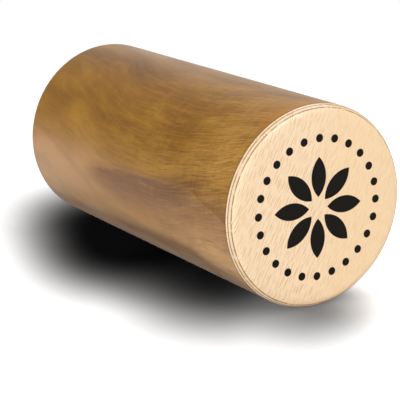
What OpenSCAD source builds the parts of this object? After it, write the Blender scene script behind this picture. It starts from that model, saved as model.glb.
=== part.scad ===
// Cylindrical wooden hand shaker: a laminated wood tube, closed at both ends by a plywood disc
// with a rounded edge, and part filled with loose beads. It lies on its side with the tube's axis
// along X, the front disc towards +X and the lowest line of the tube at Z = 0. Sizes are in mm.

/* [Tube] */
// Outside diameter of the tube and of the end discs
body_d = 64; // [60:1:80]
// Length of the tube between the two end discs
tube_l = 132; // [120:1:200]
// Thickness of the outer veneer of the tube's wall
veneer_t = 0.6; // [0.4:0.1:0.8]
// Thickness of the middle ply of the tube's wall
wall_core_t = 1.4; // [0.8:0.1:1.8]
// Thickness of the inner ply of the tube's wall
liner_t = 0.6; // [0.4:0.1:0.8]

/* [End discs] */
// Thickness of the ply that is glued to the end of the tube
back_ply_t = 0.8; // [0.5:0.1:1]
// Thickness of the cross ply in the middle of a disc
cross_ply_t = 0.8; // [0.5:0.1:1]
// Thickness of the ply that shows on the face
face_ply_t = 0.8; // [0.5:0.1:1]
// Distance from the outside diameter in to the flat of the face, across the rounded edge
edge_in = 3.2; // [3:0.1:6]

/* [Beads] */
// Diameter of one bead
bead_d = 6; // [4:0.5:6.5]
// Gap between beads, side by side and end to end
bead_gap = 0.35; // [0.3:0.05:0.5]
// Gap between the outermost beads and the inside of the tube
wall_gap = 0.35; // [0.3:0.05:0.5]
// Beads in each row of the bottom layer
bottom_row_beads = 16; // [8:1:16]
// Beads in each row of the middle layer
middle_row_beads = 14; // [8:1:16]
// Beads in each row of the top layer
top_row_beads = 12; // [8:1:16]

/* [Hidden] */
$fn = 96;

// Layers of the bead bed from the bottom up: name, rows side by side, beads in a row
layers = [
    ["bottom", 3, bottom_row_beads],
    ["middle", 6, middle_row_beads],
    ["top", 7, top_row_beads]
];
function row_name(layer, row) = str("bead_row_", layers[layer][0], "_", row);

// Radii of the tube's wall, from the outside in
body_r = body_d / 2;
core_r = body_r - veneer_t;
liner_r = core_r - wall_core_t;
bore_r = liner_r - liner_t;

// Distances in front of the tube's end where the plies of a disc meet
back_joint = back_ply_t;
cross_joint = back_joint + cross_ply_t;
disc_t = cross_joint + face_ply_t;

// The rounded edge is an arc from the outside corner of the tube to the flat of the face
face_r = body_r - edge_in;
edge_r = (pow(disc_t, 2) + pow(edge_in, 2)) / (2 * disc_t);

// Centre lines of the rows: hexagonal in cross-section, none nearer to the wall than row_path_r
row_pitch = bead_d + bead_gap;
layer_rise = row_pitch * sin(60);
row_path_r = bore_r - wall_gap - bead_d / 2;
function row_y(layer, row) = (row - (layers[layer][1] + 1) / 2) * row_pitch;
function lowest_z(layer) = -sqrt(pow(row_path_r, 2) - pow(row_y(layer, 1), 2));
function layer_z(layer) = layer == 0 ? lowest_z(0)
    : max(lowest_z(layer), layer_z(layer - 1) + layer_rise);

veneer_colour = [0.60, 0.42, 0.23];
wall_colour = [0.80, 0.64, 0.44];
beech_colour = [0.93, 0.80, 0.62];
cross_colour = [0.86, 0.70, 0.50];
bead_colour = [0.70, 0.76, 0.78];

// Puts a shape that was turned about Z, starting at Z = 0, on the tube's axis from x towards +X
module on_axis(x) {
    translate([x, 0, body_r]) rotate([0, 90, 0]) children();
}

// One layer of the tube's wall
module wall_layer(outer_r, thickness) {
    on_axis(-tube_l / 2)
        rotate_extrude() translate([outer_r - thickness, 0]) square([thickness, tube_l]);
}

module tube_veneer() {
    color(veneer_colour) wall_layer(body_r, veneer_t);
}

module tube_core() {
    color(wall_colour) wall_layer(core_r, wall_core_t);
}

module tube_liner() {
    color(wall_colour) wall_layer(liner_r, liner_t);
}

// Half cross-section of a whole disc: radius across, distance in front of the tube's end upwards
module disc_section() {
    square([face_r, disc_t]);
    intersection() {
        square([body_r, disc_t]);
        translate([face_r, disc_t - edge_r]) circle(r = edge_r);
    }
}

// One ply of the front disc, between two distances in front of the tube's end
module disc_ply(from, to) {
    on_axis(tube_l / 2)
        rotate_extrude() intersection() {
            disc_section();
            translate([0, from]) square([body_r, to - from]);
        }
}

module back_ply() {
    color(beech_colour) disc_ply(0, back_joint);
}

module cross_ply() {
    color(cross_colour) disc_ply(back_joint, cross_joint);
}

module face_ply() {
    color(beech_colour) disc_ply(cross_joint, disc_t);
}

module at_rear() {
    mirror([1, 0, 0]) children();
}

// One row of loose beads along the tube, centred on the tube's length
module bead_row(layer, row) {
    beads = layers[layer][2];
    color(bead_colour)
        for (i = [0 : beads - 1])
            translate([(i - (beads - 1) / 2) * row_pitch, row_y(layer, row), body_r + layer_z(layer)])
                sphere(d = bead_d);
}

tube_veneer();
tube_core();
tube_liner();
back_ply();  // front_back_ply
cross_ply();  // front_cross_ply
face_ply();  // front_face_ply
at_rear() back_ply();  // rear_back_ply
at_rear() cross_ply();  // rear_cross_ply
at_rear() face_ply();  // rear_face_ply
for (layer = [0 : len(layers) - 1])
    for (row = [1 : layers[layer][1]])
        bead_row(layer, row);
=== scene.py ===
"""Looks of a cylindrical wooden hand shaker: a veneered tube with a plywood disc on each end."""
import math

import bmesh
import bpy
from mathutils import Matrix, Vector


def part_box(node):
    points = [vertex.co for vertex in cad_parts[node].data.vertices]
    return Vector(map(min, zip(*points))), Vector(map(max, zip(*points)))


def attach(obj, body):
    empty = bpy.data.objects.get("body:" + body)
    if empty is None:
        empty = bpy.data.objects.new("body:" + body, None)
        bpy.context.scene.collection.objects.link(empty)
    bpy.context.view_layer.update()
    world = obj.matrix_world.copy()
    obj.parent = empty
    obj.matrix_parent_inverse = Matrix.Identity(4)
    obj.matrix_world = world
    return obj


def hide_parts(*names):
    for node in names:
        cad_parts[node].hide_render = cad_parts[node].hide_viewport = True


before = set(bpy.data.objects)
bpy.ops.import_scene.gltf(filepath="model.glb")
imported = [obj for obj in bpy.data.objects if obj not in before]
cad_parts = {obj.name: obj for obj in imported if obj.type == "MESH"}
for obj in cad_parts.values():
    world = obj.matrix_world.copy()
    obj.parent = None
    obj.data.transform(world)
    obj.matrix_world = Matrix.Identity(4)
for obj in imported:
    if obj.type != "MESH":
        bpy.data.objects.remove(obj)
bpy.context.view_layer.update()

MM = 0.001

# Sizes of the shaker, taken from its solids
veneer_low, veneer_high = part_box("tube_veneer")
core_low, core_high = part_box("tube_core")
tube_r = (veneer_high.y - veneer_low.y) / 2
core_r = (core_high.y - core_low.y) / 2
axis_z = (veneer_high.z + veneer_low.z) / 2
tube_end = veneer_high.x
back_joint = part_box("front_back_ply")[1].x - tube_end
cross_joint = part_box("front_cross_ply")[1].x - tube_end
disc_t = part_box("front_face_ply")[1].x - tube_end

# The rounded edge of a disc: an arc from the tube's corner to the flat of the face
EDGE_IN = 3.2 * MM
edge_r = (disc_t ** 2 + EDGE_IN ** 2) / (2 * disc_t)
face_r = tube_r - EDGE_IN

# Fine breaks that sanding leaves on the plies, and the veneer's lengthwise butt joint
PLY_BREAK = 0.07 * MM
VENEER_BREAK = 0.10 * MM
SEAM_GAP = 0.12 * MM
SEAM_ANGLE = 215

# Steps round the tube and across a ply's edge, and how meshes are cleaned and shaded
ROUND_STEPS = 240
EDGE_STEPS, FACE_EDGE_STEPS = 5, 15
MERGE_DISTANCE = 0.001 * MM
SHARP_DEGREES = 25

AXIS = Vector((1, 0, 0))
CENTRE = Vector((0, 0, axis_z))
# Length in mm of one degree round the tube
ARC_MM = math.pi / 180 * tube_r / MM


def tone(red, green, blue):
    """A display colour, 0 to 255 a channel, as Blender's linear colour."""
    def linear(value):
        value /= 255
        return value / 12.92 if value <= 0.04045 else ((value + 0.055) / 1.055) ** 2.4
    return (linear(red), linear(green), linear(blue), 1.0)


# Meshes

def profile_edges(bm, points, closed):
    """A chain of edges through points given as (x, radius), above the tube's axis."""
    verts = [bm.verts.new((x, 0, axis_z + radius)) for x, radius in points]
    pairs = list(zip(verts, verts[1:]))
    if closed:
        pairs.append((verts[-1], verts[0]))
    return verts, [bm.edges.new(pair) for pair in pairs]


def spin_profile(bm, chain, angle, joined):
    """Turns a chain of edges about the tube's axis, and closes what is still open."""
    bmesh.ops.spin(
        bm, geom=chain, cent=CENTRE, axis=AXIS, dvec=(0, 0, 0), angle=angle,
        steps=ROUND_STEPS, use_merge=joined, use_normal_flip=False, use_duplicate=False)
    open_edges = [edge for edge in bm.edges if edge.is_boundary]
    bmesh.ops.holes_fill(bm, edges=open_edges, sides=0)


def finish_piece(bm, name, material, node):
    """Cleans the mesh, shades it, and puts it in the scene in the place of its CAD node."""
    bmesh.ops.remove_doubles(bm, verts=bm.verts, dist=MERGE_DISTANCE)
    bmesh.ops.recalc_face_normals(bm, faces=bm.faces)
    for face in bm.faces:
        face.smooth = True
    for edge in bm.edges:
        if edge.is_manifold and edge.calc_face_angle() > math.radians(SHARP_DEGREES):
            edge.smooth = False
    mesh = bpy.data.meshes.new(name)
    bm.to_mesh(mesh)
    bm.free()
    mesh.materials.append(material)
    piece = bpy.data.objects.new(name, mesh)
    bpy.context.scene.collection.objects.link(piece)
    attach(piece, "shell")
    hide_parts(node)


def wrap_veneer(material):
    """The veneer sheet, bent round the tube until its two edges nearly meet."""
    bm = bmesh.new()
    verts, edges = profile_edges(bm, [
        (-tube_end, core_r),
        (-tube_end, tube_r - VENEER_BREAK),
        (-tube_end + VENEER_BREAK, tube_r),
        (tube_end - VENEER_BREAK, tube_r),
        (tube_end, tube_r - VENEER_BREAK),
        (tube_end, core_r),
    ], closed=True)
    gap = SEAM_GAP / tube_r
    start = math.radians(SEAM_ANGLE) + gap / 2
    bmesh.ops.rotate(bm, verts=verts, cent=CENTRE, matrix=Matrix.Rotation(start, 3, "X"))
    spin_profile(bm, verts + edges, 2 * math.pi - gap, joined=False)
    finish_piece(bm, "veneer_tube", material, "tube_veneer")


def edge_radius(ahead):
    """Radius of a disc's rounded edge, at a distance in front of the tube's end."""
    return face_r + math.sqrt(max(edge_r ** 2 - (ahead - disc_t + edge_r) ** 2, 0))


def disc_ply(name, side, near, far, material, node):
    """One ply of a disc, between two distances in front of the tube's end; side is +1 or -1."""
    is_face = far == disc_t
    steps = FACE_EDGE_STEPS if is_face else EDGE_STEPS
    low = near + PLY_BREAK
    top = far if is_face else far - PLY_BREAK
    points = [(near, edge_radius(near) - PLY_BREAK)]
    for step in range(steps + 1):
        share = step / steps
        if is_face:
            share = math.sin(share * math.pi / 2)
        ahead = low + (top - low) * share
        points.append((ahead, edge_radius(ahead)))
    if not is_face:
        points.append((far, edge_radius(far) - PLY_BREAK))
    bm = bmesh.new()
    verts, edges = profile_edges(
        bm, [(side * (tube_end + ahead), radius) for ahead, radius in points], closed=False)
    spin_profile(bm, verts + edges, 2 * math.pi, joined=True)
    finish_piece(bm, name, material, node)


# Shader nodes

def feed(tree, socket, value):
    """Links an output to the socket, or sets the socket to a plain value."""
    if isinstance(value, bpy.types.NodeSocket):
        tree.links.new(value, socket)
    else:
        socket.default_value = value


def calc(tree, operation, *values):
    node = tree.nodes.new("ShaderNodeMath")
    node.operation = operation
    for socket, value in zip(node.inputs, values):
        feed(tree, socket, value)
    return node.outputs[0]


def plus(tree, first, second):
    return calc(tree, "ADD", first, second)


def minus(tree, first, second):
    return calc(tree, "SUBTRACT", first, second)


def over(tree, first, second):
    return calc(tree, "DIVIDE", first, second)


def times(tree, value, *factors):
    for factor in factors:
        value = calc(tree, "MULTIPLY", value, factor)
    return value


def vector_calc(tree, operation, *values):
    node = tree.nodes.new("ShaderNodeVectorMath")
    node.operation = operation
    for socket, value in zip(node.inputs, values):
        feed(tree, socket, value)
    return node.outputs["Value"] if operation == "LENGTH" else node.outputs[0]


def combined(tree, x, y, z=0.0):
    node = tree.nodes.new("ShaderNodeCombineXYZ")
    for socket, value in zip(node.inputs, (x, y, z)):
        feed(tree, socket, value)
    return node.outputs[0]


def separated(tree, vector):
    node = tree.nodes.new("ShaderNodeSeparateXYZ")
    feed(tree, node.inputs[0], vector)
    return node.outputs


def length(tree, x, y):
    return vector_calc(tree, "LENGTH", combined(tree, x, y))


def ease(tree, value, start, full, before=0.0, after=1.0):
    """Goes smoothly from before at start to after at full; start may be the larger one."""
    node = tree.nodes.new("ShaderNodeMapRange")
    node.interpolation_type = "SMOOTHSTEP"
    for name, given in (("Value", value), ("From Min", start), ("From Max", full),
                        ("To Min", before), ("To Max", after)):
        feed(tree, node.inputs[name], given)
    return node.outputs["Result"]


def mixed(tree, amount, first, second):
    node = tree.nodes.new("ShaderNodeMix")
    node.data_type = "RGBA"
    factor, first_colour, second_colour = (node.inputs[index] for index in (0, 6, 7))
    feed(tree, factor, amount)
    feed(tree, first_colour, first)
    feed(tree, second_colour, second)
    return node.outputs[2]


def stained(tree, colour, mask, strength, shade):
    """The colour with a shade, given as a display colour, mixed in where the mask is."""
    return mixed(tree, times(tree, mask, strength), colour, tone(*shade))


def noise(tree, vector, detail=2.0, roughness=0.5, scale=1.0):
    node = tree.nodes.new("ShaderNodeTexNoise")
    feed(tree, node.inputs["Vector"], vector)
    node.inputs["Scale"].default_value = scale
    node.inputs["Detail"].default_value = detail
    node.inputs["Roughness"].default_value = roughness
    return node.outputs["Fac"]


def stretched_noise(tree, vector, size, **options):
    """Noise whose clouds have about the given size."""
    return noise(tree, vector_calc(tree, "DIVIDE", vector, size), **options)


def swing(tree, value, size):
    """A noise value, 0 to 1, as a swing of plus or minus size."""
    return times(tree, minus(tree, value, 0.5), 2 * size)


def local_place(tree, vector, origin, turn, unit):
    """A place seen from an origin in a turned frame, measured in units along each axis."""
    node = tree.nodes.new("ShaderNodeMapping")
    node.vector_type = "TEXTURE"
    node.inputs["Location"].default_value = origin
    node.inputs["Rotation"].default_value = turn
    node.inputs["Scale"].default_value = unit
    feed(tree, node.inputs["Vector"], vector)
    return node.outputs[0]


def new_group(name, inputs, outputs):
    tree = bpy.data.node_groups.new(name, "ShaderNodeTree")
    for socket, kind in inputs:
        tree.interface.new_socket(name=socket, in_out="INPUT", socket_type="NodeSocket" + kind)
    for socket, kind in outputs:
        tree.interface.new_socket(name=socket, in_out="OUTPUT", socket_type="NodeSocket" + kind)
    return tree, tree.nodes.new("NodeGroupInput").outputs, tree.nodes.new("NodeGroupOutput").inputs


def placed(tree, group, **values):
    """A node group in a material; an input named Mark length is given as mark_length."""
    node = tree.nodes.new("ShaderNodeGroup")
    node.node_tree = group
    for name, value in values.items():
        feed(tree, node.inputs[name.capitalize().replace("_", " ")], value)
    return node.outputs


# How much finer the streaks of a wood are than its clouds, along the grain and across it
STREAK_SCALE = (1.3, 4.0, 4.0)
# Room for a dash along the grain, in dash lengths, and how far dashes stray from even rows
MARK_PITCH, MARK_STRAY = 1.3, 0.85
# Where a dash starts and where it is full: at its ends in lengths, at its sides in widths
MARK_ENDS, MARK_SIDES = (0.5, 0.2), (0.8, 0.25)
# The faintest dash, where the strongest is 1
MARK_FAINTEST = 0.35


def wood_grain_group():
    """Clouds, streaks and short dashes of wood; the vector is in mm with X along the grain."""
    tree, given, put = new_group(
        "Wood grain",
        [("Vector", "Vector"), ("Figure length", "Float"), ("Figure width", "Float"),
         ("Mark length", "Float"), ("Mark width", "Float"), ("Mark spacing", "Float")],
        [("Clouds", "Float"), ("Streaks", "Float"), ("Marks", "Float")])
    figure = combined(tree, given["Figure length"], given["Figure width"], given["Figure width"])
    stretched = vector_calc(tree, "DIVIDE", given["Vector"], figure)
    feed(tree, put["Clouds"], noise(tree, stretched, detail=3.0))
    finer = vector_calc(tree, "MULTIPLY", stretched, STREAK_SCALE)
    feed(tree, put["Streaks"], noise(tree, finer, detail=3.0, roughness=0.6))

    pitch = times(tree, given["Mark length"], MARK_PITCH)
    cell = combined(tree, pitch, given["Mark spacing"], given["Mark spacing"])
    spread = vector_calc(tree, "DIVIDE", given["Vector"], cell)
    cells = tree.nodes.new("ShaderNodeTexVoronoi")
    cells.inputs["Scale"].default_value = 1.0
    cells.inputs["Randomness"].default_value = MARK_STRAY
    feed(tree, cells.inputs["Vector"], spread)
    away = vector_calc(tree, "ABSOLUTE", vector_calc(
        tree, "SUBTRACT", spread, cells.outputs["Position"]))
    off = separated(tree, vector_calc(tree, "MULTIPLY", away, cell))
    ends = ease(tree, over(tree, off[0], given["Mark length"]), *MARK_ENDS)
    sides = ease(tree, over(tree, off[1], given["Mark width"]), *MARK_SIDES)
    chance = separated(tree, cells.outputs["Color"])[0]
    depth = plus(tree, MARK_FAINTEST, times(tree, chance, 1 - MARK_FAINTEST))
    feed(tree, put["Marks"], times(tree, ends, sides, depth))
    return tree


def tube_sheet_group():
    """The tube's surface laid flat: mm along it, and degrees from the top towards the -Y side."""
    tree, given, put = new_group(
        "Tube laid flat", [("Vector", "Vector")], [("Along", "Float"), ("Around", "Float")])
    # The angle jumps opposite to this middle, where the veneer's joint is
    middle = SEAM_ANGLE - 180
    turned = local_place(
        tree, given["Vector"], CENTRE, (math.radians(middle), 0, 0), (MM, MM, MM))
    x, y, z = separated(tree, turned)
    angle = calc(tree, "ARCTAN2", times(tree, y, -1.0), z)
    feed(tree, put["Along"], x)
    feed(tree, put["Around"], plus(tree, times(tree, angle, 180 / math.pi), middle))
    return tree


# Lines on a disc's edge, glue lines and painted shade by the tube: distance in front of the tube,
# how broken, strength, tone
GLUE_AND_SHADE_LINES = {
    "Soft line": (back_joint, 0.20, 0.95, (138, 98, 60)),
    "Dark line": (cross_joint, 0.22, 0.85, (136, 102, 70)),
    # Painted shade where the disc's edge meets the tube
    "Tube joint shade": (0.0, 0.10, 0.60, (120, 84, 50)),
}
# Width in mm, where a line starts and is full in widths, and the scale and softness of its breaks
JOINT_LINE_WIDTH = 0.23
JOINT_LINE_SIDES = (0.75, 0.30)
JOINT_LINE_BREAK_SCALE, JOINT_LINE_BREAK_SOFT = 420.0, 0.3


def glue_and_shade_line_group():
    """The glue lines on a disc's edge, and the painted shade next to the tube, each as a mask."""
    tree, given, put = new_group(
        "Glue and shade lines", [("Vector", "Vector"), ("Line width", "Float")],
        [(name, "Float") for name in GLUE_AND_SHADE_LINES])
    x = separated(tree, given["Vector"])[0]
    ahead = over(tree, minus(tree, calc(tree, "ABSOLUTE", x), tube_end), MM)
    breaks = noise(tree, given["Vector"], scale=JOINT_LINE_BREAK_SCALE)
    for name, (joint, broken, *_) in GLUE_AND_SHADE_LINES.items():
        off = calc(tree, "ABSOLUTE", minus(tree, ahead, joint / MM))
        line = ease(tree, over(tree, off, given["Line width"]), *JOINT_LINE_SIDES)
        whole = ease(tree, breaks, broken, broken + JOINT_LINE_BREAK_SOFT)
        feed(tree, put[name], times(tree, line, whole))
    return tree


wood_grain = wood_grain_group()
tube_sheet = tube_sheet_group()
glue_and_shade_lines = glue_and_shade_line_group()


# Materials

def new_material(name, roughness, coat=0.0, coat_roughness=0.3, gloss=0.5):
    material = bpy.data.materials.new(name)
    material.use_nodes = True
    tree = material.node_tree
    surface = tree.nodes["Principled BSDF"]
    surface.inputs["Roughness"].default_value = roughness
    surface.inputs["Coat Weight"].default_value = coat
    surface.inputs["Coat Roughness"].default_value = coat_roughness
    surface.inputs["Specular IOR Level"].default_value = gloss
    place = tree.nodes.new("ShaderNodeTexCoord").outputs["Object"]
    return material, tree, surface.inputs, place


def face_grain_place(tree, place, degrees):
    """Place in mm from the tube's middle, X along a disc's grain, degrees from +Y towards +Z."""
    along = Vector((0, math.cos(math.radians(degrees)), math.sin(math.radians(degrees))))
    turn = Matrix((along, AXIS.cross(along), AXIS)).transposed()
    return local_place(tree, place, CENTRE, turn.to_euler(), (MM, MM, MM))


def flat_place(tree, along, around):
    """A place on the tube laid flat, as a vector in mm."""
    return combined(tree, along, times(tree, around, ARC_MM))


def along_curve(tree, along, points):
    """A value that follows a smooth line along the tube, through points of (mm along, value)."""
    half = tube_end / MM
    low, high = min(value for x, value in points), max(value for x, value in points)
    node = tree.nodes.new("ShaderNodeFloatCurve")
    feed(tree, node.inputs["Value"], over(tree, plus(tree, along, half), 2 * half))
    line = node.mapping.curves[0]
    for index, (x, value) in enumerate(points):
        spot = ((x + half) / (2 * half), (value - low) / (high - low))
        if index < 2:
            line.points[index].location = spot
        else:
            line.points.new(*spot)
    node.mapping.update()
    return plus(tree, times(tree, node.outputs[0], high - low), low)


def bump(tree, surface, height, strength, depth):
    node = tree.nodes.new("ShaderNodeBump")
    node.inputs["Strength"].default_value = strength
    node.inputs["Distance"].default_value = depth
    feed(tree, node.inputs["Height"], height)
    feed(tree, surface["Normal"], node.outputs[0])


# Veneer: roughness, coat, coat roughness and gloss, then how its streaks change its roughness
VENEER_FINISH = (0.42, 0.045, 0.28, 0.09)
VENEER_ROUGHNESS, VENEER_ROUGHNESS_SWING = 0.40, 0.10
VENEER_STREAK_RISE = 0.5
VENEER_BUMP = (0.2, 0.04 * MM)
# Unrest in the figure: size along and round the tube in mm, and swing in degrees
WAVE_SIZE, WAVE_SWING = (36.0, 18.0, 1.0), 6.0
RIPPLE_SIZE, RIPPLE_SWING = (9.0, 4.0, 1.0), 1.6
# Tones round the tube, in degrees from the top; low on the front they are partly painted light
VENEER_TONES = [
    (-145, (142, 98, 36)), (-112, (134, 90, 28)), (-92, (162, 119, 62)), (-66, (152, 110, 52)),
    (-38, (132, 90, 30)), (-12, (144, 106, 64)), (6, (152, 110, 62)), (20, (138, 94, 36)),
    (34, (139, 92, 16)), (52, (144, 97, 13)), (66, (150, 104, 29)), (77, (164, 120, 55)),
    # Paler from 120 to 134 degrees: partly the veneer's own pale band, partly painted light
    # against the shade low on the tube; greyer at 145: a painted sheen along the lower edge
    (90, (180, 137, 92)), (104, (182, 142, 104)), (120, (184, 147, 110)), (134, (196, 168, 146)),
    (145, (184, 163, 150)), (165, (150, 108, 48)), (212, (142, 100, 38)),
]
# Clouded patches: middle along the tube and round it, half length, half width, strength, tone
VENEER_PATCHES = [
    (62, 52, 22, 36, 0.55, (190, 142, 68)),
    (56, 111, 18, 14, 0.60, (222, 178, 132)),
    (66, 119, 10, 12, 0.45, (222, 178, 132)),
    (30, 46, 9, 26, 0.24, (110, 68, 8)),
    (-14, 56, 10, 10, 0.30, (112, 70, 10)),
    (-50, 60, 10, 8, 0.15, (112, 70, 14)),
    (-30, 70, 16, 8, 0.34, (178, 130, 56)),
    (-34, 20, 36, 10, 0.62, (106, 68, 30)),
    (-52, 46, 18, 7, 0.22, (196, 146, 30)),
    (-36, 60, 9, 12, 0.28, (196, 148, 36)),
    (10, 50, 8, 9, 0.22, (190, 140, 40)),
    (42, 64, 9, 14, 0.28, (190, 144, 74)),
    (-12, 39, 12, 6, 0.22, (190, 140, 44)),
    (6, 5, 20, 8, 0.28, (190, 150, 100)),
    (57, 64, 10, 14, 0.28, (206, 156, 84)),
    (42, 106, 22, 6, 0.30, (214, 170, 122)),
    (-20, 77, 14, 5, 0.25, (190, 146, 90)),
    (-52, 31, 12, 6, 0.22, (118, 78, 24)),
    (38, 17, 38, 12, 0.45, (186, 138, 62)),
    (-54, 96, 22, 13, 0.18, (212, 172, 132)),
    (-58, 72, 11, 8, 0.24, (130, 88, 44)),
    (-37, -9, 20, 9, 0.34, (188, 160, 132)),
    (-50, -60, 26, 16, 0.35, (112, 74, 24)),
    (36, -40, 24, 14, 0.35, (176, 132, 64)),
    (10, 165, 30, 14, 0.30, (112, 74, 24)),
]
# Where a patch starts and where it is full, in half sizes from its middle
PATCH_EDGE = (1.25, 0.2)

# Upper edges of the dark flames: place along the tube in mm, degrees round it
FRONT_FLAME = [
    (-66, 97), (-30, 93), (-20, 90), (-11, 88.5), (2, 85), (20, 83), (31, 80.5), (40, 79.5),
    (51, 84.5), (58, 87.5), (66, 92),
]
UNDER_FLAME = [
    (-66, 121), (-40, 120), (0, 117), (20, 115), (32, 115), (46, 120), (56, 125), (66, 129),
]
BACK_FLAME = [(-66, -84), (-30, -90), (10, -86), (40, -92), (66, -88)]
LOW_BACK_FLAME = [(-66, -126), (-20, -122), (30, -130), (66, -126)]
FLAME_TONE, UNDER_TONE, FLAME_LINE_TONE = (120, 85, 62), (104, 84, 68), (104, 68, 26)
# A flame keeps its full strength for this share of the angle over which it fades
FLAME_FULL = 0.2
# The flames on the back: softness of the edge and fade in degrees, strengths
BACK_SOFTNESS, BACK_FADE, BACK_STRENGTH, LOW_BACK_STRENGTH = 7.0, 32.0, 0.80, 0.75
# The front flame: softness of its edge, and the lower edge of the dark line along it, in degrees
FRONT_SOFTNESS = 2.4
LINE_LOWER_EDGE = (2.0, 0.5)
# Changes along the tube: from and to in mm, then the value before and the value after
FRONT_BEGINS = (-30, -12, 0.0, 1.0)
FRONT_FADE = (-24, 6, 18.0, 33.0)
FRONT_STRENGTH = (36, 50, 0.95, 0.53)
LINE_REACH, LINE_REACH_AT_END = (20, 60, -5.0, -12.0), (54, 66, 0.0, -12.0)
LINE_STRENGTH = (8, 44, 0.36, 0.68)
UNDER_STRENGTH, UNDER_STRENGTH_AT_END = (-36, 8, 0.50, 0.66), (40, 57, 0.0, -0.16)
UNDER_SOFTNESS, UNDER_SOFTNESS_AT_END = (-30, 10, 12.0, 9.7), (40, 57, 0.0, -3.0)
UNDER_FADE = (40, 57, 32.0, 20.0)
LOW_BAND_CALM = (-10, 30, 0.55, 0.33)
FIGURE_STRENGTH, FIGURE_STRENGTH_AT_END = (-45, 35, 0.35, 1.0), (20, 60, 0.0, 0.45)

# How the grain bends: place along the tube in mm, degrees round it, on the side about BEND_MIDDLE
GRAIN_BEND = [(-66, 24), (-40, 15), (-6, 1), (8, 0), (25, 2), (45, 8.5), (66, 18)]
BEND_MIDDLE = 45
BEND_SPREAD = (110, 30)
# Grains of the veneer in mm, how much of the wave the fine one follows, and a ripple across them
BROAD_GRAIN = {"figure_length": 30.0, "figure_width": 8.0,
               "mark_length": 6.0, "mark_width": 0.28, "mark_spacing": 1.6}
FINE_GRAIN = {"figure_length": 14.0, "figure_width": 2.2,
              "mark_length": 4.0, "mark_width": 0.22, "mark_spacing": 0.9}
FINE_WAVE = 0.35
CROSS_SIZE = (1.3, 8.0, 1.0)
# The pale band low on the front is calmer: its upper and lower edge in degrees, and fewer dashes
LOW_BAND_TOP, LOW_BAND_BOTTOM = (74, 90), (150, 138)
LOW_BAND_FEWER_MARKS = 0.55
# Figure: the grain it follows, where it starts and where it is full, strength, tone
VENEER_FIGURE = [
    ("clouds", 0.54, 0.36, 0.36, (106, 66, 10)),
    ("clouds", 0.52, 0.70, 0.30, (188, 138, 44)),
    ("broad streaks", 0.46, 0.70, 0.22, (196, 148, 74)),
    ("broad streaks", 0.50, 0.32, 0.20, (102, 64, 14)),
    ("fine streaks", 0.50, 0.70, 0.22, (200, 154, 82)),
    ("fine streaks", 0.50, 0.32, 0.22, (98, 60, 12)),
    ("cross ripple", 0.52, 0.74, 0.09, (200, 154, 82)),
    ("cross ripple", 0.48, 0.28, 0.09, (98, 60, 12)),
]
MARKS_STAIN = (0.34, (88, 52, 14))
# The top of the tube is warmer by the front end: along in mm, round the tube in degrees
WARM_END_ALONG, WARM_END_AROUND = (52, 66), (42, 24)
WARM_END_STAIN = (0.45, (190, 124, 36))
# Both ends darken over a short length in mm: painted shade in the joint with the discs
END_LENGTH = 0.5
END_JOINT_SHADE = (0.70, (84, 56, 28))


def veneer_ground(tree, along, around):
    """Tones round the tube, partly painted light low on the front, with clouded patches."""
    ramp = tree.nodes.new("ShaderNodeValToRGB")
    stops = ramp.color_ramp.elements
    first, last = VENEER_TONES[0][0], VENEER_TONES[-1][0]
    feed(tree, ramp.inputs["Fac"], over(tree, minus(tree, around, first), last - first))
    for index, (angle, shade) in enumerate(VENEER_TONES):
        position = (angle - first) / (last - first)
        stop = stops[index] if index < 2 else stops.new(position)
        stop.position = position
        stop.color = tone(*shade)
    colour = ramp.outputs["Color"]
    for middle, angle, half_length, half_width, strength, shade in VENEER_PATCHES:
        out = length(tree, over(tree, minus(tree, along, middle), half_length),
                     over(tree, minus(tree, around, angle), half_width))
        colour = stained(tree, colour, ease(tree, out, *PATCH_EDGE), strength, shade)
    return colour


def flame(tree, colour, below, softness, fade, strength, shade):
    """Darkens the colour below a flame's edge; below is the angle past the edge."""
    body = times(tree, ease(tree, below, 0.0, softness),
                 ease(tree, below, fade, times(tree, fade, FLAME_FULL)))
    return stained(tree, colour, body, strength, shade)


def veneer_flames(tree, colour, along, around):
    """The dark flames, and a dark line along the edge of the front one."""
    def changing(*changes):
        values = [ease(tree, along, *change) for change in changes]
        return values[0] if len(values) == 1 else plus(tree, *values)

    below = minus(tree, around, along_curve(tree, along, FRONT_FLAME))
    begun = changing(FRONT_BEGINS)
    colour = flame(tree, colour, below, FRONT_SOFTNESS, changing(FRONT_FADE),
                   times(tree, begun, changing(FRONT_STRENGTH)), FLAME_TONE)
    reach = changing(LINE_REACH, LINE_REACH_AT_END)
    line = times(tree, ease(tree, below, reach, 0.0), ease(tree, below, *LINE_LOWER_EDGE), begun)
    colour = stained(tree, colour, line, changing(LINE_STRENGTH), FLAME_LINE_TONE)
    for edge, softness, fade, strength, shade in (
            (UNDER_FLAME, changing(UNDER_SOFTNESS, UNDER_SOFTNESS_AT_END), changing(UNDER_FADE),
             changing(UNDER_STRENGTH, UNDER_STRENGTH_AT_END), UNDER_TONE),
            (BACK_FLAME, BACK_SOFTNESS, BACK_FADE, BACK_STRENGTH, FLAME_TONE),
            (LOW_BACK_FLAME, BACK_SOFTNESS, BACK_FADE, LOW_BACK_STRENGTH, FLAME_TONE)):
        below = minus(tree, around, along_curve(tree, along, edge))
        colour = flame(tree, colour, below, softness, fade, strength, shade)
    return colour


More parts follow.
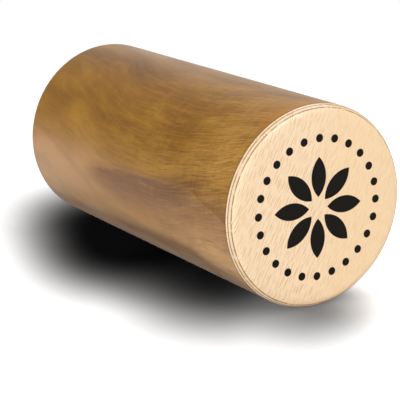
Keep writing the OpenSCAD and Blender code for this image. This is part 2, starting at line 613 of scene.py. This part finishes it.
def veneer_material():
    material, tree, surface, place = new_material("figured_veneer", *VENEER_FINISH)
    laid = placed(tree, tube_sheet, vector=place)
    along, around = laid["Along"], laid["Around"]
    flat = flat_place(tree, along, around)
    wave = swing(tree, stretched_noise(tree, flat, WAVE_SIZE, detail=1.0), WAVE_SWING)
    ripple = swing(tree, stretched_noise(tree, flat, RIPPLE_SIZE), RIPPLE_SWING)
    warped = plus(tree, around, plus(tree, wave, ripple))
    colour = veneer_ground(tree, along, warped)
    colour = veneer_flames(tree, colour, along, plus(tree, around, ripple))

    from_bend = calc(tree, "ABSOLUTE", minus(tree, around, BEND_MIDDLE))
    bend = times(tree, along_curve(tree, along, GRAIN_BEND), ease(tree, from_bend, *BEND_SPREAD))
    bent = plus(tree, around, bend)
    broad_place = flat_place(tree, along, plus(tree, bent, wave))
    fine_place = flat_place(tree, along, plus(tree, bent, times(tree, wave, FINE_WAVE)))
    broad = placed(tree, wood_grain, vector=broad_place, **BROAD_GRAIN)
    fine = placed(tree, wood_grain, vector=fine_place, **FINE_GRAIN)
    cross = stretched_noise(tree, flat_place(tree, along, bent), CROSS_SIZE, detail=1.0)

    low_band = times(tree, ease(tree, warped, *LOW_BAND_TOP), ease(tree, warped, *LOW_BAND_BOTTOM))
    even = minus(tree, 1.0, times(tree, low_band, ease(tree, along, *LOW_BAND_CALM)))
    calm = times(tree, even, plus(tree, ease(tree, along, *FIGURE_STRENGTH),
                                  ease(tree, along, *FIGURE_STRENGTH_AT_END)))
    grains = {"clouds": (broad["Clouds"], even), "broad streaks": (broad["Streaks"], calm),
              "fine streaks": (fine["Streaks"], calm), "cross ripple": (cross, calm)}
    for grain, start, full, strength, shade in VENEER_FIGURE:
        value, share = grains[grain]
        mask = times(tree, ease(tree, value, start, full), share)
        colour = stained(tree, colour, mask, strength, shade)
    fewer = minus(tree, 1.0, times(tree, low_band, LOW_BAND_FEWER_MARKS))
    marks = times(tree, calc(tree, "MAXIMUM", broad["Marks"], fine["Marks"]), fewer, calm)
    colour = stained(tree, colour, marks, *MARKS_STAIN)

    warm_end = times(tree, ease(tree, along, *WARM_END_ALONG),
                     ease(tree, calc(tree, "ABSOLUTE", around), *WARM_END_AROUND))
    colour = stained(tree, colour, warm_end, *WARM_END_STAIN)
    # Painted shade at both ends, where the tube meets the discs
    half = tube_end / MM
    end = ease(tree, calc(tree, "ABSOLUTE", along), half - END_LENGTH, half)
    colour = stained(tree, colour, end, *END_JOINT_SHADE)
    feed(tree, surface["Base Color"], colour)
    feed(tree, surface["Roughness"], plus(
        tree, VENEER_ROUGHNESS, swing(tree, broad["Streaks"], VENEER_ROUGHNESS_SWING)))
    height = minus(tree, times(tree, fine["Streaks"], VENEER_STREAK_RISE), fine["Marks"])
    bump(tree, surface, height, *VENEER_BUMP)
    return material


# Beech of the discs: roughness, coat, coat roughness and gloss
BEECH_COAT = 0.5
BEECH_FINISH = (0.48, BEECH_COAT, 0.18, 0.07)
BEECH_ROUGHNESS, FLECK_ROUGHNESS = 0.46, 0.08
BEECH_STREAK_RISE = 0.4
BEECH_BUMP = (0.12, 0.03 * MM)
FACE_TONE = (250, 222, 186)
BACK_PLY_TONE, CROSS_PLY_TONE = (236, 210, 174), (237, 210, 177)
# Grain of each ply, in degrees from +Y towards +Z
FACE_GRAIN, REAR_FACE_GRAIN, BACK_GRAIN, CROSS_GRAIN = 66, 118, 70, 156
# Long and short grain of beech, in mm
LONG_GRAIN = {"figure_length": 60.0, "figure_width": 5.0,
              "mark_length": 4.6, "mark_width": 0.17, "mark_spacing": 1.05}
SHORT_GRAIN = {"figure_length": 10.0, "figure_width": 1.6,
               "mark_length": 3.6, "mark_width": 0.16, "mark_spacing": 0.9}
FLECK_TONE, FLECK_STRENGTH, SHORT_FLECKS = (208, 146, 70), 0.80, 0.65
# Clouds and streaks darken the ground by this share of the fleck tone: start, full, strength
SHADE_SHARE = 0.22
BEECH_CLOUDS, BEECH_STREAKS = (0.38, 0.68), (0.50, 0.78)
BEECH_SHADE_STRENGTH = 0.16
# The printed face is warmer towards +Y
WARM_SIDE = (-8 * MM, 14 * MM)
WARM_STAIN = (0.6, (248, 213, 166))
# Ink of the print: how well it covers, tone, and the roughness that it adds
INK_COVER, INK_TONE, INK_ROUGHNESS = 0.995, (7, 6, 6), 0.12
# Print on the front face, in mm: petals in a ring of dots, with slightly soft edges
PETALS = 8
PETAL_FROM, PETAL_TO, PETAL_HALF = 3.4, 16.0, 2.7
DOTS = 24
DOT_RING, DOT_R = 21.8, 1.3
PRINT_SOFT = 0.05
# The print is on the face only, and full from this far behind it
PRINT_DEPTH = 0.1 * MM


def repeated(tree, across, up, count):
    """Folds the face into equal sectors round its centre, as a place out and to the side."""
    radius = length(tree, across, up)
    turn = times(tree, calc(tree, "ARCTAN2", across, up), count / (2 * math.pi))
    local = minus(tree, calc(tree, "FRACT", plus(tree, turn, 0.5)), 0.5)
    angle = times(tree, local, 2 * math.pi / count)
    return (times(tree, radius, calc(tree, "COSINE", angle)),
            times(tree, radius, calc(tree, "SINE", angle)))


def printed_rosette(tree, place):
    """A plain rosette of petals inside a ring of dots, as a mask."""
    x, y, z = separated(tree, place)
    across = over(tree, y, MM)
    up = over(tree, minus(tree, z, axis_z), MM)

    out, side = repeated(tree, across, up, PETALS)
    half = (PETAL_TO - PETAL_FROM) / 2
    bow = (half ** 2 + PETAL_HALF ** 2) / (2 * PETAL_HALF)
    reach = length(tree, minus(tree, out, PETAL_FROM + half),
                   plus(tree, calc(tree, "ABSOLUTE", side), bow - PETAL_HALF))
    petals = ease(tree, reach, bow + PRINT_SOFT, bow - PRINT_SOFT)

    out, side = repeated(tree, across, up, DOTS)
    off = length(tree, minus(tree, out, DOT_RING), side)
    dots = ease(tree, off, DOT_R + PRINT_SOFT, DOT_R - PRINT_SOFT)
    front = ease(tree, x, tube_end + cross_joint, tube_end + disc_t - PRINT_DEPTH)
    return times(tree, calc(tree, "MAXIMUM", petals, dots), front)


def beech_material(name, grain_degrees, ground, printed=False):
    """Beech with fine flecks along the grain, the glue lines that show on a disc's edge, and
    painted shade where that edge meets the tube.
    """
    material, tree, surface, place = new_material(name, *BEECH_FINISH)
    wood = face_grain_place(tree, place, grain_degrees)
    grain = placed(tree, wood_grain, vector=wood, **LONG_GRAIN)
    short = placed(tree, wood_grain, vector=wood, **SHORT_GRAIN)
    shade = [(1 - SHADE_SHARE) * bare + SHADE_SHARE * fleck
             for bare, fleck in zip(ground, FLECK_TONE)]
    colour = tone(*ground)
    for value, edges in ((grain["Clouds"], BEECH_CLOUDS), (short["Streaks"], BEECH_STREAKS)):
        colour = stained(tree, colour, ease(tree, value, *edges), BEECH_SHADE_STRENGTH, shade)
    flecks = calc(tree, "MAXIMUM", grain["Marks"], times(tree, short["Marks"], SHORT_FLECKS))
    colour = stained(tree, colour, flecks, FLECK_STRENGTH, FLECK_TONE)
    if printed:
        warm = ease(tree, separated(tree, place)[1], *WARM_SIDE)
        colour = stained(tree, colour, warm, *WARM_STAIN)
    lines = placed(tree, glue_and_shade_lines, vector=place, line_width=JOINT_LINE_WIDTH)
    for name, (*_, strength, line_tone) in GLUE_AND_SHADE_LINES.items():
        colour = stained(tree, colour, lines[name], strength, line_tone)
    rough = plus(tree, BEECH_ROUGHNESS, times(tree, flecks, FLECK_ROUGHNESS))
    if printed:
        ink = printed_rosette(tree, place)
        colour = stained(tree, colour, ink, INK_COVER, INK_TONE)
        rough = plus(tree, rough, times(tree, ink, INK_ROUGHNESS))
        feed(tree, surface["Coat Weight"], times(tree, minus(tree, 1.0, ink), BEECH_COAT))
    feed(tree, surface["Base Color"], colour)
    feed(tree, surface["Roughness"], rough)
    height = minus(tree, times(tree, short["Streaks"], BEECH_STREAK_RISE), flecks)
    bump(tree, surface, height, *BEECH_BUMP)
    return material


front_beech = beech_material("beech_face_front", FACE_GRAIN, FACE_TONE, printed=True)
rear_beech = beech_material("beech_face_rear", REAR_FACE_GRAIN, FACE_TONE)
back_beech = beech_material("beech_back_ply", BACK_GRAIN, BACK_PLY_TONE)
cross_beech = beech_material("beech_cross_ply", CROSS_GRAIN, CROSS_PLY_TONE)

wrap_veneer(veneer_material())
for end, side, face_beech in (("front", 1, front_beech), ("rear", -1, rear_beech)):
    disc_ply(f"{end}_disc_back", side, 0, back_joint, back_beech,
             f"{end}_back_ply")
    disc_ply(f"{end}_disc_cross", side, back_joint, cross_joint, cross_beech,
             f"{end}_cross_ply")
    disc_ply(f"{end}_disc_face", side, cross_joint, disc_t, face_beech,
             f"{end}_face_ply")


# Pieces that stay as they are in the CAD model: inner plies of the wall, and the beads
WALL_ROUGHNESS = 0.6
WALL_BUMP = (0.2, 0.05 * MM)
WALL_GRAIN = {"figure_length": 40.0, "figure_width": 5.0,
              "mark_length": 4.0, "mark_width": 0.3, "mark_spacing": 1.2}
WALL_DARK, WALL_LIGHT = (214, 182, 138), (226, 196, 152)
WALL_MARKS_STAIN = (0.5, (180, 140, 94))
# Roughness of the glass, and how the clouds in it change that
BEAD_FINISH_ROUGHNESS, BEAD_ROUGHNESS, BEAD_ROUGHNESS_CHANGE = 0.08, 0.07, 0.06
BEAD_BUMP = (0.1, 0.05 * MM)
BEAD_CLOUD_SCALE = 180.0
BEAD_DARK, BEAD_LIGHT = (176, 194, 198), (196, 210, 212)


def wall_material():
    material, tree, surface, place = new_material("birch_wall", WALL_ROUGHNESS)
    laid = placed(tree, tube_sheet, vector=place)
    flat = flat_place(tree, laid["Along"], laid["Around"])
    grain = placed(tree, wood_grain, vector=flat, **WALL_GRAIN)
    colour = mixed(tree, grain["Clouds"], tone(*WALL_DARK), tone(*WALL_LIGHT))
    colour = stained(tree, colour, grain["Marks"], *WALL_MARKS_STAIN)
    feed(tree, surface["Base Color"], colour)
    bump(tree, surface, grain["Streaks"], *WALL_BUMP)
    return material


def bead_material():
    material, tree, surface, place = new_material("bead_glass", BEAD_FINISH_ROUGHNESS)
    clouds = noise(tree, place, scale=BEAD_CLOUD_SCALE)
    colour = mixed(tree, clouds, tone(*BEAD_DARK), tone(*BEAD_LIGHT))
    feed(tree, surface["Base Color"], colour)
    feed(tree, surface["Roughness"], plus(
        tree, BEAD_ROUGHNESS, times(tree, clouds, BEAD_ROUGHNESS_CHANGE)))
    bump(tree, surface, clouds, *BEAD_BUMP)
    return material


wall, bead = wall_material(), bead_material()
for name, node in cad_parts.items():
    if name in ("tube_core", "tube_liner") or name.startswith("bead_row"):
        node.data.materials.clear()
        node.data.materials.append(wall if name.startswith("tube") else bead)


# Stage: a pale floor, soft studio light and the camera
FLOOR_SIZE = 8.0
FLOOR_GAIN = 1.6
# What the floor throws back on to the shaker
FLOOR_BOUNCE = 0.8
# Past these distances the floor turns into plain white
FLOOR_NEAR, FLOOR_FAR = 0.17, 0.40
# The shade fades across these places in mm, from the lit side of the tube to the other
LIT_SIDE, SHADED_SIDE = 35, -5
# On the shaded side this share of the floor's own shadow gives way to the blots of painted shadow,
# which glow at this level
BLOT_SHARE, BLOT_LEVEL = 0.65, 0.75
# How steeply a blot deepens towards its middle
BLOT_POWER = 2.2
# Soft blots of painted shadow: middle and half sizes in mm, turn in degrees, how square, how soft,
# how deep
PAINTED_FLOOR_SHADOWS = [
    (-33.9, -10.3, 59.7, 30.7, -21.9, 2.72, 0.570, 0.920),
    (27.2, -6.5, 43.6, 24.3, -36.3, 2.0, 0.859, 0.831),
    (65.7, 8.0, 13.1, 32.3, 41.6, 2.0, 0.926, 0.518),
]
# Softboxes: name, azimuth, elevation, distance, width, height, watts
SOFTBOXES = [
    ("key_softbox", 182, 62, 1.8, 3.2, 0.9, 28.0),
    ("front_softbox", 101, 36, 1.4, 0.6, 0.45, 6.4),
]
SOFTBOXES_OFF_FLOOR = [
    ("fill_softbox", 62, 40, 1.4, 0.5, 0.5, 2.5),
    ("side_softbox", 16, 3, 1.2, 1.4, 0.30, 14.0),
    ("rear_softbox", 270, 4, 1.4, 0.6, 0.45, 4.0),
]
# How much light the white background gives
WORLD_LEVEL = 0.06
CAMERA_AZIMUTH, CAMERA_ELEVATION = 58.749, 14.609
CAMERA_PLACE = (0.4548, -0.2767, 0.1580)
CAMERA_LENS, CAMERA_SENSOR, CAMERA_CLIP = 144.56, 36.0, 0.01


def background_rays(tree):
    """1 for rays that show the background: to the camera, in a gloss or through glass."""
    rays = tree.nodes.new("ShaderNodeLightPath").outputs
    return calc(tree, "MAXIMUM", rays["Is Camera Ray"], calc(
        tree, "MAXIMUM", rays["Is Glossy Ray"], rays["Is Transmission Ray"]))


def painted_shadow_patch(tree, place, x, y, half_x, half_y, turn, square, soft):
    """A soft-edged patch of painted shadow on the floor, as a mask."""
    turned = local_place(tree, place, (x * MM, y * MM, 0), (0, 0, math.radians(turn)),
                         (half_x * MM, half_y * MM, 1))
    across, deep = [calc(tree, "POWER", calc(tree, "ABSOLUTE", part), square)
                    for part in separated(tree, turned)[:2]]
    out = calc(tree, "POWER", plus(tree, across, deep), 1 / square)
    return ease(tree, out, 1 + soft, 1 - soft)


def floor_material():
    """White; what the camera sees is deepened by painted shadow in blots on the shaker's shaded
    side.
    """
    material = bpy.data.materials.new("studio_floor")
    material.use_nodes = True
    tree = material.node_tree
    tree.nodes.remove(tree.nodes["Principled BSDF"])
    place = tree.nodes.new("ShaderNodeTexCoord").outputs["Object"]
    shaded_side = ease(tree, separated(tree, place)[1], LIT_SIDE * MM, SHADED_SIDE * MM)
    painted_shadow_level = FLOOR_GAIN
    for *shape, depth in PAINTED_FLOOR_SHADOWS:
        blot = times(tree, painted_shadow_patch(tree, place, *shape), shaded_side)
        painted_shadow_level = times(tree, painted_shadow_level, calc(
            tree, "POWER", minus(tree, 1.0, times(tree, blot, depth)), BLOT_POWER))
    to_camera = tree.nodes.new("ShaderNodeLightPath").outputs["Is Camera Ray"]
    far = ease(tree, vector_calc(tree, "LENGTH", place), FLOOR_NEAR, FLOOR_FAR)

    shadowed = tree.nodes.new("ShaderNodeBsdfDiffuse")
    feed(tree, shadowed.inputs["Color"], painted_shadow_level)
    # For the camera the shaded side partly glows, evenly, with the painted shadow in it
    even = tree.nodes.new("ShaderNodeEmission")
    feed(tree, even.inputs["Strength"], times(tree, painted_shadow_level, BLOT_LEVEL))
    white = tree.nodes.new("ShaderNodeEmission")
    bounce = tree.nodes.new("ShaderNodeBsdfDiffuse")
    bounce.inputs["Color"].default_value = (FLOOR_BOUNCE, FLOOR_BOUNCE, FLOOR_BOUNCE, 1)
    shown = shadowed
    for share, other in ((times(tree, to_camera, shaded_side, BLOT_SHARE), even),
                         (times(tree, to_camera, far), white),
                         (minus(tree, 1.0, background_rays(tree)), bounce)):
        mix = tree.nodes.new("ShaderNodeMixShader")
        feed(tree, mix.inputs[0], share)
        feed(tree, mix.inputs[1], shown.outputs[0])
        feed(tree, mix.inputs[2], other.outputs[0])
        shown = mix
    feed(tree, tree.nodes["Material Output"].inputs["Surface"], shown.outputs[0])
    return material


def pale_floor():
    bm = bmesh.new()
    bmesh.ops.create_grid(bm, x_segments=2, y_segments=2, size=FLOOR_SIZE / 2)
    mesh = bpy.data.meshes.new("studio_floor")
    bm.to_mesh(mesh)
    bm.free()
    mesh.materials.append(floor_material())
    floor = bpy.data.objects.new("studio_floor", mesh)
    bpy.context.scene.collection.objects.link(floor)
    return floor


def softbox(name, azimuth, elevation, distance, width, height, watts):
    """An area light that looks at the shaker; azimuth 0 is from -Y, 90 from +X."""
    lamp = bpy.data.lights.new(name, "AREA")
    lamp.shape = "RECTANGLE"
    lamp.size, lamp.size_y = width, height
    lamp.energy = watts
    item = bpy.data.objects.new(name, lamp)
    turn, rise = math.radians(azimuth), math.radians(elevation)
    outward = Vector((
        math.sin(turn) * math.cos(rise), -math.cos(turn) * math.cos(rise), math.sin(rise)))
    item.location = CENTRE + outward * distance
    item.rotation_euler = outward.to_track_quat("Z", "Y").to_euler()
    bpy.context.scene.collection.objects.link(item)
    return item


def keep_off(lamp, floor):
    """Keeps a lamp off the floor, so that its shadow stays deep, and out of the gloss."""
    unlit = bpy.data.collections.new(lamp.name + "_off_floor")
    unlit.objects.link(floor)
    lamp.light_linking.receiver_collection = unlit
    lamp.visible_glossy = False
    unlit.collection_objects[0].light_linking.link_state = "EXCLUDE"


def studio_world():
    """White where it shows, and a faint light elsewhere."""
    world = bpy.data.worlds.new("studio")
    bpy.context.scene.world = world
    world.use_nodes = True
    tree = world.node_tree
    background = tree.nodes["Background"]
    background.inputs["Color"].default_value = (1, 1, 1, 1)
    feed(tree, background.inputs["Strength"], plus(
        tree, times(tree, background_rays(tree), 1 - WORLD_LEVEL), WORLD_LEVEL))


def studio_camera():
    lens = bpy.data.cameras.new("studio_camera")
    lens.lens = CAMERA_LENS
    lens.sensor_width = CAMERA_SENSOR
    lens.clip_start = CAMERA_CLIP
    camera = bpy.data.objects.new("studio_camera", lens)
    camera.location = CAMERA_PLACE
    camera.rotation_euler = (
        math.radians(90 - CAMERA_ELEVATION), 0, math.radians(CAMERA_AZIMUTH))
    bpy.context.scene.collection.objects.link(camera)
    bpy.context.scene.camera = camera


studio_floor = pale_floor()
for box in SOFTBOXES:
    softbox(*box)
for box in SOFTBOXES_OFF_FLOOR:
    keep_off(softbox(*box), studio_floor)
studio_world()
studio_camera()
bpy.context.scene.view_settings.view_transform = "Standard"
